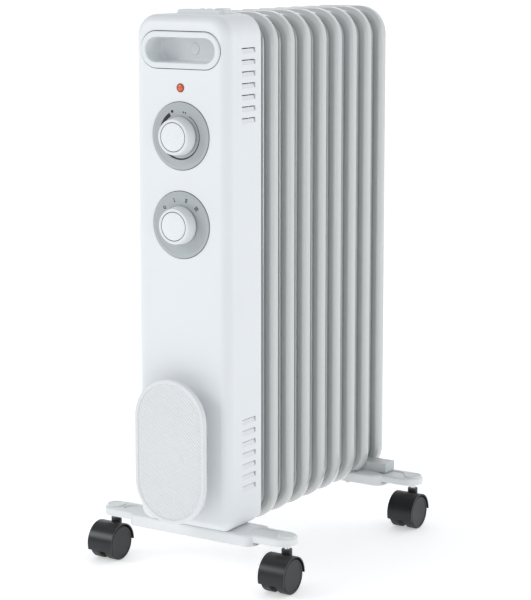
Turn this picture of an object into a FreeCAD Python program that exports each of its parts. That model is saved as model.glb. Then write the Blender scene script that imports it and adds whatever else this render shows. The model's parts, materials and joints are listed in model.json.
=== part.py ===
"""Oil filled radiator heater, nine steel fins on four twin-wheel casters.

The frame: X runs from left to right seen from the front, Y from the front (the control housing) to the
back (the last fin), Z up. The origin is on the floor, at the middle of the object's footprint.
"""
import FreeCAD, Part
import math
import os
from FreeCAD import Vector
from Sketcher import Constraint

document = FreeCAD.newDocument("oil_radiator")
sheet = document.addObject("Spreadsheet::Sheet", "Sizes")


class Size:
    """A dimension that knows its number and the spreadsheet formula that gives it."""

    def __init__(self, number, formula):
        self.number = number
        self.formula = formula

    def joined(self, other, sign, number):
        return Size(number, f"({self.formula} {sign} {formula_of(other)})")

    def __add__(self, other):
        return self.joined(other, "+", self.number + number_of(other))

    def __radd__(self, other):
        return self + other

    def __sub__(self, other):
        return self.joined(other, "-", self.number - number_of(other))

    def __mul__(self, other):
        return self.joined(other, "*", self.number * number_of(other))

    def __truediv__(self, other):
        return self.joined(other, "/", self.number / number_of(other))

    def __neg__(self):
        return Size(-self.number, f"(0 - {self.formula})")


def number_of(size):
    return size.number if isinstance(size, Size) else float(size)


def formula_of(size):
    return size.formula if isinstance(size, Size) else repr(float(size))


# The driving dimensions, in millimetres and degrees: name, value, meaning.
DIMENSIONS = [
    ("first_fin_y", -103.6, "front face of the first fin's sheet"),
    ("fin_pitch", 35, "from one fin to the next"),
    ("fin_half_width", 58.2, "half the width of a fin"),
    ("fin_bottom_z", 50.5, "lowest edge of a fin"),
    ("fin_top_z", 628.5, "highest edge of a fin"),
    ("fin_corner", 34, "corner radius of a fin, seen from the front"),
    ("fin_depth", 12.6, "depth of a fin's bent rim"),
    ("fin_bend", 8, "radius of the bend from the sheet into the rim"),
    ("fin_sheet", 0.6, "thickness of the steel"),
    ("column_half_width", 28.5, "half the width of the oil channel"),
    ("column_bottom_z", 65, "lower end of the oil channel"),
    ("column_top_z", 611, "upper end of the oil channel"),
    ("column_depth", 15, "depth of the oil channel"),
    ("column_bend", 5, "edge radius of the oil channel"),
    ("hub_bore", 18, "radius of the holes that join the channels"),
    ("collar_radius", 22, "outer radius of a joining collar"),
    ("oil_gap", 0.2, "gap left between the oil and the steel"),
    ("plug_radius", 21, "radius of a channel plug"),
    ("plug_head", 1.5, "thickness of a channel plug outside the channel"),
    ("element_rod", 4, "radius of the heating element's rods"),
    ("element_spread", 9, "from the element's middle to each rod"),
    ("element_end_y", 150, "where the element's rods meet their bend"),
    ("element_flange", 26, "radius of the element's flange"),
    ("element_flange_depth", 3, "thickness of the element's flange"),
    ("terminal_depth", 14, "length of the element's terminals"),
    ("terminal_radius", 3, "radius of the element's terminals"),
    ("housing_front_y", -162.5, "front panel of the control housing"),
    ("housing_depth", 65, "front to back of the housing"),
    ("housing_half_width", 61.2, "half the width of the housing"),
    ("housing_bottom_z", 60.5, "underside of the housing, and top of the feet"),
    ("housing_top_z", 627.8, "top of the housing"),
    ("housing_wall", 2.1, "wall of the housing"),
    ("roof_notch_half_width", 40, "half the width of the notch in the roof for the first fin"),
    ("roof_notch_height", 6, "height of the notch in the roof"),
    ("housing_top_corner", 24, "upper corner radius, seen from the front"),
    ("housing_bottom_corner", 14, "lower corner radius, seen from the front"),
    ("housing_edge", 12, "radius round the front panel"),
    ("louvre_front_y", -135.1, "front end of the louvre slots"),
    ("louvre_back_y", -108.2, "back end of the louvre slots"),
    ("louvre_height", 5.6, "height of a louvre slot"),
    ("louvre_pitch", 12.6, "from one louvre slot to the next"),
    ("upper_louvre_z", 592.7, "top of the highest slot in the upper group"),
    ("lower_louvre_z", 184.2, "top of the highest slot in the lower group"),
    ("handle_z", 590, "middle height of the carrying handle"),
    ("handle_half_width", 52, "half the width of the handle's bezel"),
    ("handle_half_height", 20.5, "half the height of the handle's bezel"),
    ("handle_rim", 7, "width of the bezel's rim"),
    ("handle_proud", 1.6, "how far the bezel stands out of the panel"),
    ("handle_seat", 1.2, "depth of the bezel's seat in the panel"),
    ("handle_depth", 28, "depth of the hand pocket"),
    ("handle_wall", 1.8, "wall of the hand pocket"),
    ("handle_edge", 1.4, "edge radius of the bezel"),
    ("handle_cap_radius", 6.5, "radius of the cap on the pocket's back wall"),
    ("handle_cap_depth", 0.8, "thickness of the cap on the pocket's back wall"),
    ("fit_gap", 0.3, "gap between a fixed piece and its seat"),
    ("lamp_z", 549.5, "height of the pilot lamp"),
    ("lamp_radius", 3.6, "radius of the lamp's lens"),
    ("lamp_dome", 1.4, "how far the lamp's lens stands out of the panel"),
    ("lamp_dome_edge", 0.9, "edge radius of the lamp's lens"),
    ("lamp_lens_back", 8, "how far the lens reaches behind the panel"),
    ("lamp_tube_wall", 0.7, "wall of the lamp's tube, and thickness of its rim"),
    ("lamp_rim", 1.3, "width of the rim round the lens"),
    ("lamp_tube_depth", 16, "length of the lamp's tube behind the panel"),
    ("lamp_tube_end", 2, "thickness of the tube's end"),
    ("thermostat_z", 497.3, "height of the thermostat dial"),
    ("selector_z", 400.2, "height of the power selector dial"),
    ("dial_radius", 37.3, "outer radius of a dial ring"),
    ("dial_depth", 2.4, "thickness of a dial ring"),
    ("dial_proud", 1.2, "how far a dial ring stands out of the panel"),
    ("dial_edge", 0.6, "edge radius of a dial ring"),
    ("bush_radius", 4.7, "radius of a control's threaded bush"),
    ("bush_proud", 0.7, "how far a bush reaches in front of the panel"),
    ("bush_bore_depth", 14, "how far a bush's bore reaches behind the panel"),
    ("case_corner", 3, "corner radius of a control's case"),
    ("thermostat_half_width", 18, "half the width of the thermostat's case"),
    ("thermostat_half_height", 15, "half the height of the thermostat's case"),
    ("thermostat_depth", 24, "depth of the thermostat's case"),
    ("selector_half_width", 16, "half the width and height of the selector's case"),
    ("selector_depth", 22, "depth of the selector's case"),
    ("knob_back_radius", 21, "radius of a knob at the panel"),
    ("knob_front_radius", 19.4, "radius of a knob at its face"),
    ("knob_height", 13.8, "front to back of a knob"),
    ("knob_edge", 1.6, "edge radius of a knob's face"),
    ("knob_gap", 0.5, "gap between a knob and its dial ring"),
    ("knob_groove", 16.2, "outer radius of the groove in a knob's face"),
    ("knob_disc", 15.4, "radius of the disc in a knob's face"),
    ("knob_disc_seat", 1, "depth of the disc's seat"),
    ("shaft_radius", 3, "radius of a control shaft"),
    ("shaft_length", 24, "length of a control shaft"),
    ("turning_gap", 0.05, "radial running clearance of shafts and pins"),
    ("shield_front_y", -119.2, "front face of the heat shield"),
    ("shield_sheet", 1, "thickness of the heat shield"),
    ("shield_bottom_z", 83, "lower edge of the heat shield"),
    ("shield_top_z", 603, "upper edge of the heat shield"),
    ("shield_leg_x", 45, "from the middle to the shield's legs"),
    ("shield_leg_inset", 20, "from the shield's ends to the ends of its legs"),
    ("shield_hole", 18, "radius of the hole round the element's terminals"),
    ("cutout_x", 30, "place of the safety cut-out across the heat shield"),
    ("cutout_z", 523, "height of the safety cut-out"),
    ("cutout_radius", 8, "radius of the safety cut-out"),
    ("cutout_depth", 8, "depth of the safety cut-out"),
    ("cutout_tab_x", 4, "from the cut-out's middle to each of its tabs"),
    ("cutout_tab_width", 2, "thickness of a tab"),
    ("cutout_tab_height", 4, "height and length of a tab"),
    ("wire_radius", 1.4, "radius of an insulated wire"),
    ("wire_bend", 5, "bend radius of a wire's middle line"),
    ("wire_run_y", -124.5, "front to back place of the wires' long runs"),
    ("wire_step", 8, "from the selector's middle to its upper and lower wires"),
    ("gland_y", -130, "front to back place of the cord gland"),
    ("gland_z", 87, "height of the cord gland"),
    ("gland_bore", 3.6, "radius of the hole for the cord"),
    ("gland_radius", 6.5, "radius of the gland in the housing's wall"),
    ("gland_head", 9.5, "radius of the gland's head"),
    ("gland_head_depth", 3, "thickness of the gland's head"),
    ("gland_edge", 1.2, "edge radius of the gland's head"),
    ("gland_shank", 8, "how far the gland reaches into the housing"),
    ("winder_front_y", -189, "front rim of the cord winder plate"),
    ("winder_depth", 6.5, "front to back of the winder plate"),
    ("winder_half_width", 46.5, "half the width of the winder plate"),
    ("winder_bottom_z", 70, "lower end of the winder plate"),
    ("winder_top_z", 232.7, "upper end of the winder plate"),
    ("winder_rim", 4.6, "width of the winder plate's rim"),
    ("winder_dish", 1.2, "how far the plate's face lies behind its rim"),
    ("winder_edge", 2, "edge radius of the winder plate"),
    ("winder_skin", 2.7, "thickness of the plate behind its face"),
    ("hub_half_width", 20, "half the width of the hub that holds the plate"),
    ("hub_bottom_z", 111, "lower end of the hub"),
    ("hub_top_z", 191, "upper end of the hub"),
    ("hub_wall", 2.5, "wall of the hub"),
    ("pad_y", -115.7, "front to back place of the top pad"),
    ("pad_half_width", 31.5, "half the width of the top pad"),
    ("pad_half_depth", 10.5, "half the depth of the top pad"),
    ("pad_height", 4.5, "thickness of the top pad"),
    ("pad_corner", 6, "corner radius of the top pad"),
    ("pad_edge", 1.4, "edge radius of the top pad"),
    ("pad_cap_radius", 3.2, "radius of the caps on the top pad"),
    ("pad_cap_height", 0.8, "height of the caps on the top pad"),
    ("pad_rib_height", 1.5, "height of the ribs on the top pad"),
    ("pad_first_rib_x", 18.2, "left side of the first rib on the top pad"),
    ("pad_rib_pitch", 2.6, "from one rib to the next"),
    ("pad_rib_width", 1.4, "thickness of a rib"),
    ("pad_rib_half_depth", 7, "half the length of a rib, front to back"),
    ("front_foot_y", -130.5, "middle of the front foot, and its caster stems"),
    ("back_foot_y", 161.5, "middle of the back foot, and its caster stems"),
    ("foot_half_length", 127.5, "half the length of a foot, across the heater"),
    ("arm_half_depth", 17.5, "half the depth of a foot's arms"),
    ("arm_bottom_z", 52, "underside of the arms"),
    ("middle_half_length", 84, "half the length of a foot's deep middle"),
    ("middle_half_depth", 23.4, "half the depth of a foot's middle"),
    ("middle_bottom_z", 47.5, "underside of a foot's middle"),
    ("middle_corner", 12, "corner radius of a foot's middle"),
    ("foot_edge", 3, "edge radius round the top of a foot"),
    ("dish_depth", 1.5, "depth of the oval dishes in a foot's arms"),
    ("dish_inner_x", 69, "inner end of a dish"),
    ("dish_outer_x", 103, "outer end of a dish"),
    ("dish_half_depth", 11, "half the front to back size of a dish"),
    ("screw_x", 30, "from the middle to each screw under the front foot"),
    ("screw_shank", 2, "radius of a screw's shank"),
    ("screw_head", 4, "radius of a screw's head"),
    ("screw_head_depth", 2.6, "thickness of a screw's head"),
    ("screw_sink", 3, "depth of a screw's countersink in the foot"),
    ("screw_length", 15, "length of a screw's shank"),
    ("screw_gap", 0.2, "gap round a screw"),
    ("cap_radius", 10.5, "radius of the caps over the caster stems"),
    ("cap_height", 1.5, "height of the caps over the caster stems"),
    ("cap_edge", 0.8, "edge radius of the caps over the caster stems"),
    ("saddle_top_z", 72, "top of the saddle between the last two fins"),
    ("saddle_half_length", 82, "half the length of the saddle"),
    ("saddle_front_y", 154.4, "front face of the saddle"),
    ("saddle_back_y", 176, "back face of the saddle"),
    ("saddle_notch", 21, "half the width of the saddle's notch for the oil channel and collar"),
    ("fin_slot_gap", 0.4, "gap in front of and behind a fin in its slot"),
    ("clamp_y", 161, "front to back place of the clamp bow"),
    ("clamp_rod", 2.5, "radius of the clamp bow's rod"),
    ("clamp_gap", 0.1, "gap round the clamp bow's legs"),
    ("clamp_spread", 24.7, "from the middle to each leg of the clamp bow"),
    ("clamp_bottom_z", 39.5, "lower ends of the clamp bow"),
    ("wing_nut_height", 5, "height of a wing nut's body"),
    ("wing_nut_radius", 4.6, "radius of a wing nut's body"),
    ("wing_reach", 10, "from a wing nut's middle to the end of a wing"),
    ("wing_half_thickness", 1, "half the thickness of a wing"),
    ("wing_step", 0.8, "how far a wing stops short of the nut's end"),
    ("stem_x", 116, "from the middle to a caster stem"),
    ("stem_radius", 3.5, "radius of a caster stem in its caster"),
    ("stem_bottom_z", 40.8, "lower end of a caster stem"),
    ("stem_head_radius", 4, "radius of a caster stem in its foot"),
    ("stem_top_z", 58.5, "upper end of a caster stem"),
    ("caster_trail", 11.5, "from the stem's axis to the wheels' axis"),
    ("wheel_radius", 20, "radius of a wheel"),
    ("wheel_inner_x", 3.9, "from the caster's middle to a wheel"),
    ("wheel_outer_x", 15.9, "from the caster's middle to a wheel's outer face"),
    ("wheel_edge", 1.4, "edge radius of a wheel"),
    ("axle_radius", 3, "radius of a caster's axle"),
    ("axle_half_length", 13.6, "half the length of a caster's axle"),
    ("wheel_bore_x", 13.9, "where a wheel's bore ends"),
    ("hood_inner", 20.9, "inner radius of a caster's hood"),
    ("hood_outer", 22.6, "outer radius of a caster's hood"),
    ("hood_half_width", 16.5, "half the width of a caster's hood"),
    ("hood_sweep", 218, "how far round the hood goes, in degrees"),
    ("web_half_width", 3.2, "half the thickness of the web between wheels"),
    ("web_radius", 9, "radius of the web round the axle"),
    ("boss_radius", 6, "radius of the boss round the stem"),
    ("boss_top_z", 46, "top of the boss round the stem"),
    ("boss_bottom_z", 26, "bottom of the boss round the stem"),
    ("stem_bore_z", 40.6, "bottom of the stem's bore"),
]
for row, (name, value, meaning) in enumerate(DIMENSIONS, start=1):
    sheet.set(f"A{row}", name)
    sheet.set(f"B{row}", str(value))
    sheet.set(f"C{row}", meaning)
    sheet.setAlias(f"B{row}", name)
document.recompute()


class Sizes:
    """The sheet's dimensions by name: S.fin_pitch is the Size of that cell."""

    def __getattr__(self, name):
        return Size(float(sheet.get(name)), f"Sizes.{name}")


S = Sizes()
FIN_COUNT = 9
LOUVRES_IN_A_GROUP = 7
PAD_RIBS = 5
PAD_CAPS = [(-3.5, 1), (4.5, 3.5)]
PLANES = {"front": "XZ_Plane", "top": "XY_Plane", "side": "YZ_Plane"}
SUBPARTS = []


# Helpers ---------------------------------------------------------------------------------------------

def bind(thing, path, size):
    """Sets a number of a document object, from the spreadsheet where the size has a formula."""
    thing.setExpression(path, formula_of(size))


def place(thing, x=0, y=0, z=0):
    for letter, size in (("x", x), ("y", y), ("z", z)):
        bind(thing, f"Placement.Base.{letter}", size)


def new_body(label, x=0, y=0, z=0):
    """An empty body with its own origin at x, y, z."""
    body = document.addObject("PartDesign::Body", label)
    body.Label = label
    place(body, x, y, z)
    SUBPARTS.append(body)
    return body


def sketch_on(body, plane, level):
    """An empty sketch on one of the body's planes, moved to a level along +Y, +Z or +X."""
    sketch = body.newObject("Sketcher::SketchObject", f"{body.Name}_sketch")
    role = PLANES[plane]
    own_plane = next(feature for feature in body.Origin.OriginFeatures if feature.Role == role)
    sketch.AttachmentSupport = [(own_plane, "")]
    sketch.MapMode = "FlatFace"
    bind(sketch, "AttachmentOffset.Base.z", -level if plane == "front" else level)
    return sketch


def hold(sketch, direction, element, point, size):
    """Keeps a point of the sketch at a distance from the sketch's origin, along X or Y."""
    number = number_of(size)
    if number == 0:
        axis = -2 if direction == "X" else -1
        sketch.addConstraint(Constraint("PointOnObject", element, point, axis))
        return
    ends = (-1, 1, element, point) if number > 0 else (element, point, -1, 1)
    index = sketch.addConstraint(Constraint(f"Distance{direction}", *ends, abs(number)))
    sketch.setExpression(f"Constraints[{index}]", formula_of(size if number > 0 else -size))


def hold_radius(sketch, element, size):
    index = sketch.addConstraint(Constraint("Radius", element, number_of(size)))
    sketch.setExpression(f"Constraints[{index}]", formula_of(size))


def arc(x, y, radius, start, end):
    """A circular arc from one angle to another, in degrees, counterclockwise."""
    circle = Part.Circle(Vector(x, y, 0), Vector(0, 0, 1), radius)
    return Part.ArcOfCircle(circle, math.radians(start), math.radians(end))


def line(x0, y0, x1, y1):
    return Part.LineSegment(Vector(x0, y0, 0), Vector(x1, y1, 0))


def rounded_rectangle(sketch, left, right, low, high, low_radius, high_radius):
    x0, x1, y0, y1 = (number_of(size) for size in (left, right, low, high))
    r0 = number_of(low_radius)
    r1 = number_of(high_radius)
    first = sketch.addGeometry([
        line(x0 + r0, y0, x1 - r0, y0),
        arc(x1 - r0, y0 + r0, r0, -90, 0),
        line(x1, y0 + r0, x1, y1 - r1),
        arc(x1 - r1, y1 - r1, r1, 0, 90),
        line(x1 - r1, y1, x0 + r1, y1),
        arc(x0 + r1, y1 - r1, r1, 90, 180),
        line(x0, y1 - r1, x0, y0 + r0),
        arc(x0 + r0, y0 + r0, r0, 180, 270),
    ], False)[0]
    for step in range(8):
        this = first + step
        following = first + (step + 1) % 8
        sketch.addConstraint(Constraint("Tangent", this, 2, following, 1))
    sketch.addConstraint([
        Constraint("Horizontal", first),
        Constraint("Horizontal", first + 4),
        Constraint("Vertical", first + 2),
        Constraint("Vertical", first + 6),
        Constraint("Equal", first + 1, first + 7),
        Constraint("Equal", first + 3, first + 5),
    ])
    hold_radius(sketch, first + 1, low_radius)
    hold_radius(sketch, first + 3, high_radius)
    hold(sketch, "Y", first, 1, low)
    hold(sketch, "Y", first + 4, 1, high)
    hold(sketch, "X", first + 2, 1, right)
    hold(sketch, "X", first + 6, 1, left)


def rectangle(sketch, left, right, low, high):
    polygon(sketch, [(left, low), (right, low), (right, high), (left, high)])


def polygon(sketch, corners):
    """A closed outline of straight lines, each corner held from the sketch's origin."""
    points = [(number_of(x), number_of(y)) for x, y in corners]
    count = len(points)
    lines = [line(*points[step], *points[(step + 1) % count]) for step in range(count)]
    first = sketch.addGeometry(lines, False)[0]
    for step in range(count):
        this = first + step
        following = first + (step + 1) % count
        sketch.addConstraint(Constraint("Coincident", this, 2, following, 1))
        hold(sketch, "X", this, 1, corners[step][0])
        hold(sketch, "Y", this, 1, corners[step][1])


def stadium(sketch, left, right, low, high):
    """A shape with two half-round ends, along whichever side is longer."""
    x0, x1, y0, y1 = (number_of(size) for size in (left, right, low, high))
    upright = y1 - y0 > x1 - x0
    radius = (right - left) / 2 if upright else (high - low) / 2
    r = number_of(radius)
    if upright:
        shapes = [
            arc(x0 + r, y0 + r, r, 180, 360),
            line(x1, y0 + r, x1, y1 - r),
            arc(x0 + r, y1 - r, r, 0, 180),
            line(x0, y1 - r, x0, y0 + r),
        ]
    else:
        shapes = [
            arc(x1 - r, y0 + r, r, -90, 90),
            line(x1 - r, y1, x0 + r, y1),
            arc(x0 + r, y0 + r, r, 90, 270),
            line(x0 + r, y0, x1 - r, y0),
        ]
    first = sketch.addGeometry(shapes, False)[0]
    for step in range(4):
        sketch.addConstraint(Constraint("Tangent", first + step, 2, first + (step + 1) % 4, 1))
    direction = "Vertical" if upright else "Horizontal"
    sketch.addConstraint([Constraint(direction, first + 1), Constraint(direction, first + 3)])
    hold_radius(sketch, first, radius)
    if upright:
        hold(sketch, "X", first, 3, zero_or((left + right) / 2))
        hold(sketch, "Y", first, 3, low + radius)
        hold(sketch, "Y", first + 2, 3, high - radius)
    else:
        hold(sketch, "X", first, 3, right - radius)
        hold(sketch, "X", first + 2, 3, left + radius)
        hold(sketch, "Y", first, 3, zero_or((low + high) / 2))


def zero_or(size):
    """Zero as a plain number when the size is zero, else the size itself."""
    return 0 if abs(number_of(size)) < 1e-9 else size


def circles(sketch, centres, radius):
    for x, y in centres:
        circle = Part.Circle(Vector(number_of(x), number_of(y), 0), Vector(0, 0, 1), number_of(radius))
        element = sketch.addGeometry(circle, False)
        hold(sketch, "X", element, 3, x)
        hold(sketch, "Y", element, 3, y)
        hold_radius(sketch, element, radius)


def finished(body, feature):
    """Makes the feature the body's result and recomputes it."""
    body.Tip = feature
    document.recompute()
    if "Invalid" in feature.State or "Error" in feature.State or feature.Shape.isNull():
        raise RuntimeError(f"{body.Label}: {feature.Name} failed, {feature.State}")
    return feature


def pad(body, plane, level, length, draw, *outline, toward=1):
    """Adds the outline that draw makes, from a level along +Y, +Z or +X, or the other way."""
    sketch = sketch_on(body, plane, level)
    draw(sketch, *outline)
    feature = body.newObject("PartDesign::Pad", f"{body.Name}_pad")
    feature.Profile = sketch
    bind(feature, "Length", length)
    normal = -1 if plane == "front" else 1
    feature.Reversed = normal != toward
    return finished(body, feature)


def pocket(body, plane, level, length, draw, *outline, toward=1):
    """Cuts the outline that draw makes, from a level along +Y, +Z or +X, or the other way."""
    volume = body.Shape.Volume
    sketch = sketch_on(body, plane, level)
    draw(sketch, *outline)
    feature = body.newObject("PartDesign::Pocket", f"{body.Name}_pocket")
    feature.Profile = sketch
    bind(feature, "Length", length)
    normal = -1 if plane == "front" else 1
    feature.Reversed = normal == toward
    finished(body, feature)
    if body.Shape.Volume > volume - 0.01:
        raise RuntimeError(f"{body.Label}: {feature.Name} cuts nothing")
    return feature


def revolve(body, plane, corners, axis, angle=360, groove=False):
    """Turns an outline about the sketch's H_Axis or V_Axis, half the angle each way."""
    volume = body.Shape.Volume if groove else 0
    sketch = sketch_on(body, plane, 0)
    polygon(sketch, corners)
    kind = "Groove" if groove else "Revolution"
    feature = body.newObject(f"PartDesign::{kind}", f"{body.Name}_{kind.lower()}")
    feature.Profile = sketch
    feature.ReferenceAxis = (sketch, [axis])
    bind(feature, "Angle", angle)
    feature.Midplane = True
    finished(body, feature)
    if groove and body.Shape.Volume > volume - 0.01:
        raise RuntimeError(f"{body.Label}: {feature.Name} cuts nothing")
    return feature


def round_edges(body, radius, chosen):
    """Rounds the edges of the body for which chosen is true."""
    base = body.Tip
    names = [f"Edge{n}" for n, edge in enumerate(base.Shape.Edges, start=1) if chosen(edge)]
    feature = body.newObject("PartDesign::Fillet", f"{body.Name}_fillet")
    feature.Base = (base, names)
    bind(feature, "Radius", radius)
    return finished(body, feature)


def edges_at(axis, level):
    """Picks the edges that lie wholly at a level along X, Y or Z, in the body's own frame."""
    value = number_of(level)

    def chosen(edge):
        box = edge.BoundBox
        low = getattr(box, f"{axis}Min")
        high = getattr(box, f"{axis}Max")
        return abs(low - value) < 0.01 and abs(high - value) < 0.01

    return chosen


# Fins and oil circuit --------------------------------------------------------------------------------

HUB_LOW_Z = S.column_bottom_z + S.column_half_width
HUB_HIGH_Z = S.column_top_z - S.column_half_width
COLUMN_FRONT = S.fin_sheet / 2 - S.column_depth / 2
COLUMN_BACK = S.fin_sheet / 2 + S.column_depth / 2
LAST_FIN_Y = S.first_fin_y + S.fin_pitch * (FIN_COUNT - 1)


def fin(number):
    """A dished steel fin: a sheet with a rim bent back, and a hollow oil channel up its middle."""
    body = new_body(f"fin_{number}", y=S.first_fin_y + S.fin_pitch * (number - 1))
    width = S.fin_half_width
    pad(body, "front", 0, S.fin_depth, rounded_rectangle,
        -width, width, S.fin_bottom_z, S.fin_top_z, S.fin_corner, S.fin_corner)
    inner = width - S.fin_sheet
    corner = S.fin_corner - S.fin_sheet
    pocket(body, "front", S.fin_depth, S.fin_depth - S.fin_sheet, rounded_rectangle,
           -inner, inner, S.fin_bottom_z + S.fin_sheet, S.fin_top_z - S.fin_sheet, corner, corner,
           toward=-1)
    round_edges(body, S.fin_bend - S.fin_sheet, edges_at("Y", S.fin_sheet))
    round_edges(body, S.fin_bend, edges_at("Y", 0))
    channel = S.column_half_width
    pad(body, "front", COLUMN_FRONT, S.column_depth, stadium,
        -channel, channel, S.column_bottom_z, S.column_top_z)
    hollow = channel - S.fin_sheet
    pocket(body, "front", COLUMN_FRONT + S.fin_sheet, S.column_depth - S.fin_sheet * 2, stadium,
           -hollow, hollow, S.column_bottom_z + S.fin_sheet, S.column_top_z - S.fin_sheet)
    for level in (COLUMN_FRONT + S.fin_sheet, COLUMN_BACK - S.fin_sheet):
        round_edges(body, S.column_bend - S.fin_sheet, edges_at("Y", level))
    for level in (COLUMN_FRONT, COLUMN_BACK):
        round_edges(body, S.column_bend, edges_at("Y", level))
    pocket(body, "front", COLUMN_FRONT - 1, S.column_depth + 2, circles,
           [(0, HUB_LOW_Z), (0, HUB_HIGH_Z)], S.hub_bore)
    return body


def joining_collars():
    """The short tubes, above and below, that join each oil channel to the next."""
    body = new_body("joining_collars", y=S.first_fin_y)
    length = S.fin_pitch - S.column_depth
    for gap in range(FIN_COUNT - 1):
        level = COLUMN_BACK + S.fin_pitch * gap
        centres = [(0, HUB_LOW_Z), (0, HUB_HIGH_Z)]
        pad(body, "front", level, length, circles, centres, S.collar_radius)
        pocket(body, "front", level, length, circles, centres, S.hub_bore)
    return body


def channel_plugs():
    """The welded plugs: at the top of the first fin, and at both ends of the last."""
    body = new_body("channel_plugs")
    spigot = S.hub_bore - S.oil_gap / 2
    front = S.first_fin_y + COLUMN_FRONT
    pad(body, "front", front, S.plug_head, circles, [(0, HUB_HIGH_Z)], S.plug_radius, toward=-1)
    pad(body, "front", front, S.fin_sheet, circles, [(0, HUB_HIGH_Z)], spigot)
    back = LAST_FIN_Y + COLUMN_BACK
    both = [(0, HUB_LOW_Z), (0, HUB_HIGH_Z)]
    pad(body, "front", back, S.plug_head, circles, both, S.plug_radius)
    pad(body, "front", back, S.fin_sheet, circles, both, spigot, toward=-1)
    return body


def oil_charge():
    """The oil that fills the channels and collars, with a slot along the heating element."""
    body = new_body("oil_charge", y=S.first_fin_y)
    gap = S.fin_sheet + S.oil_gap
    width = S.column_half_width - gap
    depth = S.column_depth - gap * 2
    for number in range(FIN_COUNT):
        level = COLUMN_FRONT + gap + S.fin_pitch * number
        pad(body, "front", level, depth, stadium,
            -width, width, S.column_bottom_z + gap, S.column_top_z - gap)
        for end in (level, level + depth):
            round_edges(body, S.column_bend - gap, edges_at("Y", end))
    start = COLUMN_FRONT + gap
    length = S.fin_pitch * (FIN_COUNT - 1) + S.column_depth - gap * 2
    pad(body, "front", start, length, circles, [(0, HUB_LOW_Z), (0, HUB_HIGH_Z)],
        S.hub_bore - S.oil_gap)
    around = S.element_rod + S.oil_gap
    wide = S.element_spread + around
    pocket(body, "front", start - 1, length + 2, stadium,
           -wide, wide, HUB_LOW_Z - around, HUB_LOW_Z + around)
    return body


def heating_element():
    """A hairpin rod along the lower hubs, on a flange that carries its two terminals."""
    body = new_body("heating_element", y=S.element_end_y, z=HUB_LOW_Z)
    flange_back = S.first_fin_y + COLUMN_FRONT - S.element_end_y
    legs = [(S.element_spread, 0), (-S.element_spread, 0)]
    pad(body, "front", flange_back, -flange_back, circles, legs, S.element_rod)
    sketch = sketch_on(body, "front", 0)
    circles(sketch, [(S.element_spread, 0)], S.element_rod)
    bend = body.newObject("PartDesign::Revolution", "heating_element_bend")
    bend.Profile = sketch
    bend.ReferenceAxis = (sketch, ["V_Axis"])
    bend.Angle = 180
    finished(body, bend)
    pad(body, "front", flange_back, S.element_flange_depth, circles, [(0, 0)], S.element_flange,
        toward=-1)
    pad(body, "front", flange_back - S.element_flange_depth, S.terminal_depth, circles, legs,
        S.terminal_radius, toward=-1)
    return body


# Control housing and what it holds -------------------------------------------------------------------

LOUVRE_GROUPS = (S.upper_louvre_z, S.lower_louvre_z)


def louvre_outlines(sketch):
    """The slots of both groups, in one sketch."""
    for top in LOUVRE_GROUPS:
        for step in range(LOUVRES_IN_A_GROUP):
            high = top - S.louvre_pitch * step
            rectangle(sketch, S.louvre_front_y, S.louvre_back_y, high - S.louvre_height, high)


def control_housing():
    """The moulded shell over the front of the first fin, open at the back."""
    body = new_body("control_housing")
    front = S.housing_front_y
    width = S.housing_half_width
    low = S.housing_bottom_z
    high = S.housing_top_z
    wall = S.housing_wall
    pad(body, "front", front, S.housing_depth, rounded_rectangle,
        -width, width, low, high, S.housing_bottom_corner, S.housing_top_corner)
    inner = width - wall
    pocket(body, "front", front + S.housing_depth, S.housing_depth - wall, rounded_rectangle,
           -inner, inner, low + wall, high - wall, S.housing_bottom_corner - wall,
           S.housing_top_corner - wall, toward=-1)
    round_edges(body, S.housing_edge - wall, edges_at("Y", front + wall))
    round_edges(body, S.housing_edge, edges_at("Y", front))
    # The floor ends in front of the first fin, whose lower end hangs below the housing.
    pocket(body, "front", S.first_fin_y - 1, S.fin_depth, rectangle,
           -inner, inner, low - 1, low + S.housing_bottom_corner)
    # The roof ends there too, because the first fin stands a little higher than the housing.
    notch = S.roof_notch_half_width
    pocket(body, "front", S.first_fin_y - 1, S.fin_depth, rectangle,
           -notch, notch, high - S.roof_notch_height, high + 1)
    pocket(body, "side", -width - 1, width * 2 + 2, louvre_outlines)
    housing_front_openings(body)
    pocket(body, "side", -width - 1, wall + 2, circles, [(S.gland_y, S.gland_z)],
           S.gland_radius)
    screws = [(-S.screw_x, S.front_foot_y), (S.screw_x, S.front_foot_y)]
    pocket(body, "top", low - 1, wall + 2, circles, screws, S.screw_shank + S.screw_gap / 2)
    return body


def housing_front_openings(body):
    """The seats and holes of the handle, the lamp and the two dials, cut from the front."""
    front = S.housing_front_y
    through = S.housing_wall + 2
    seat = S.fit_gap
    half = S.handle_half_height
    pocket(body, "front", front - 1, S.handle_seat + 1, stadium,
           -(S.handle_half_width + seat), S.handle_half_width + seat,
           S.handle_z - half - seat, S.handle_z + half + seat)
    opening = S.handle_half_width - S.handle_rim + S.handle_wall + seat
    tall = half - S.handle_rim + S.handle_wall + seat
    pocket(body, "front", front - 1, through, stadium,
           -opening, opening, S.handle_z - tall, S.handle_z + tall)
    dials = [(0, S.thermostat_z), (0, S.selector_z)]
    pocket(body, "front", front - 1, S.dial_depth - S.dial_proud + 1, circles, dials,
           S.dial_radius + seat)
    pocket(body, "front", front - 1, through, circles, dials, S.bush_radius + seat)
    pocket(body, "front", front - 1, through, circles, [(0, S.lamp_z)],
           S.lamp_radius + S.lamp_tube_wall + S.fit_gap)


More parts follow.
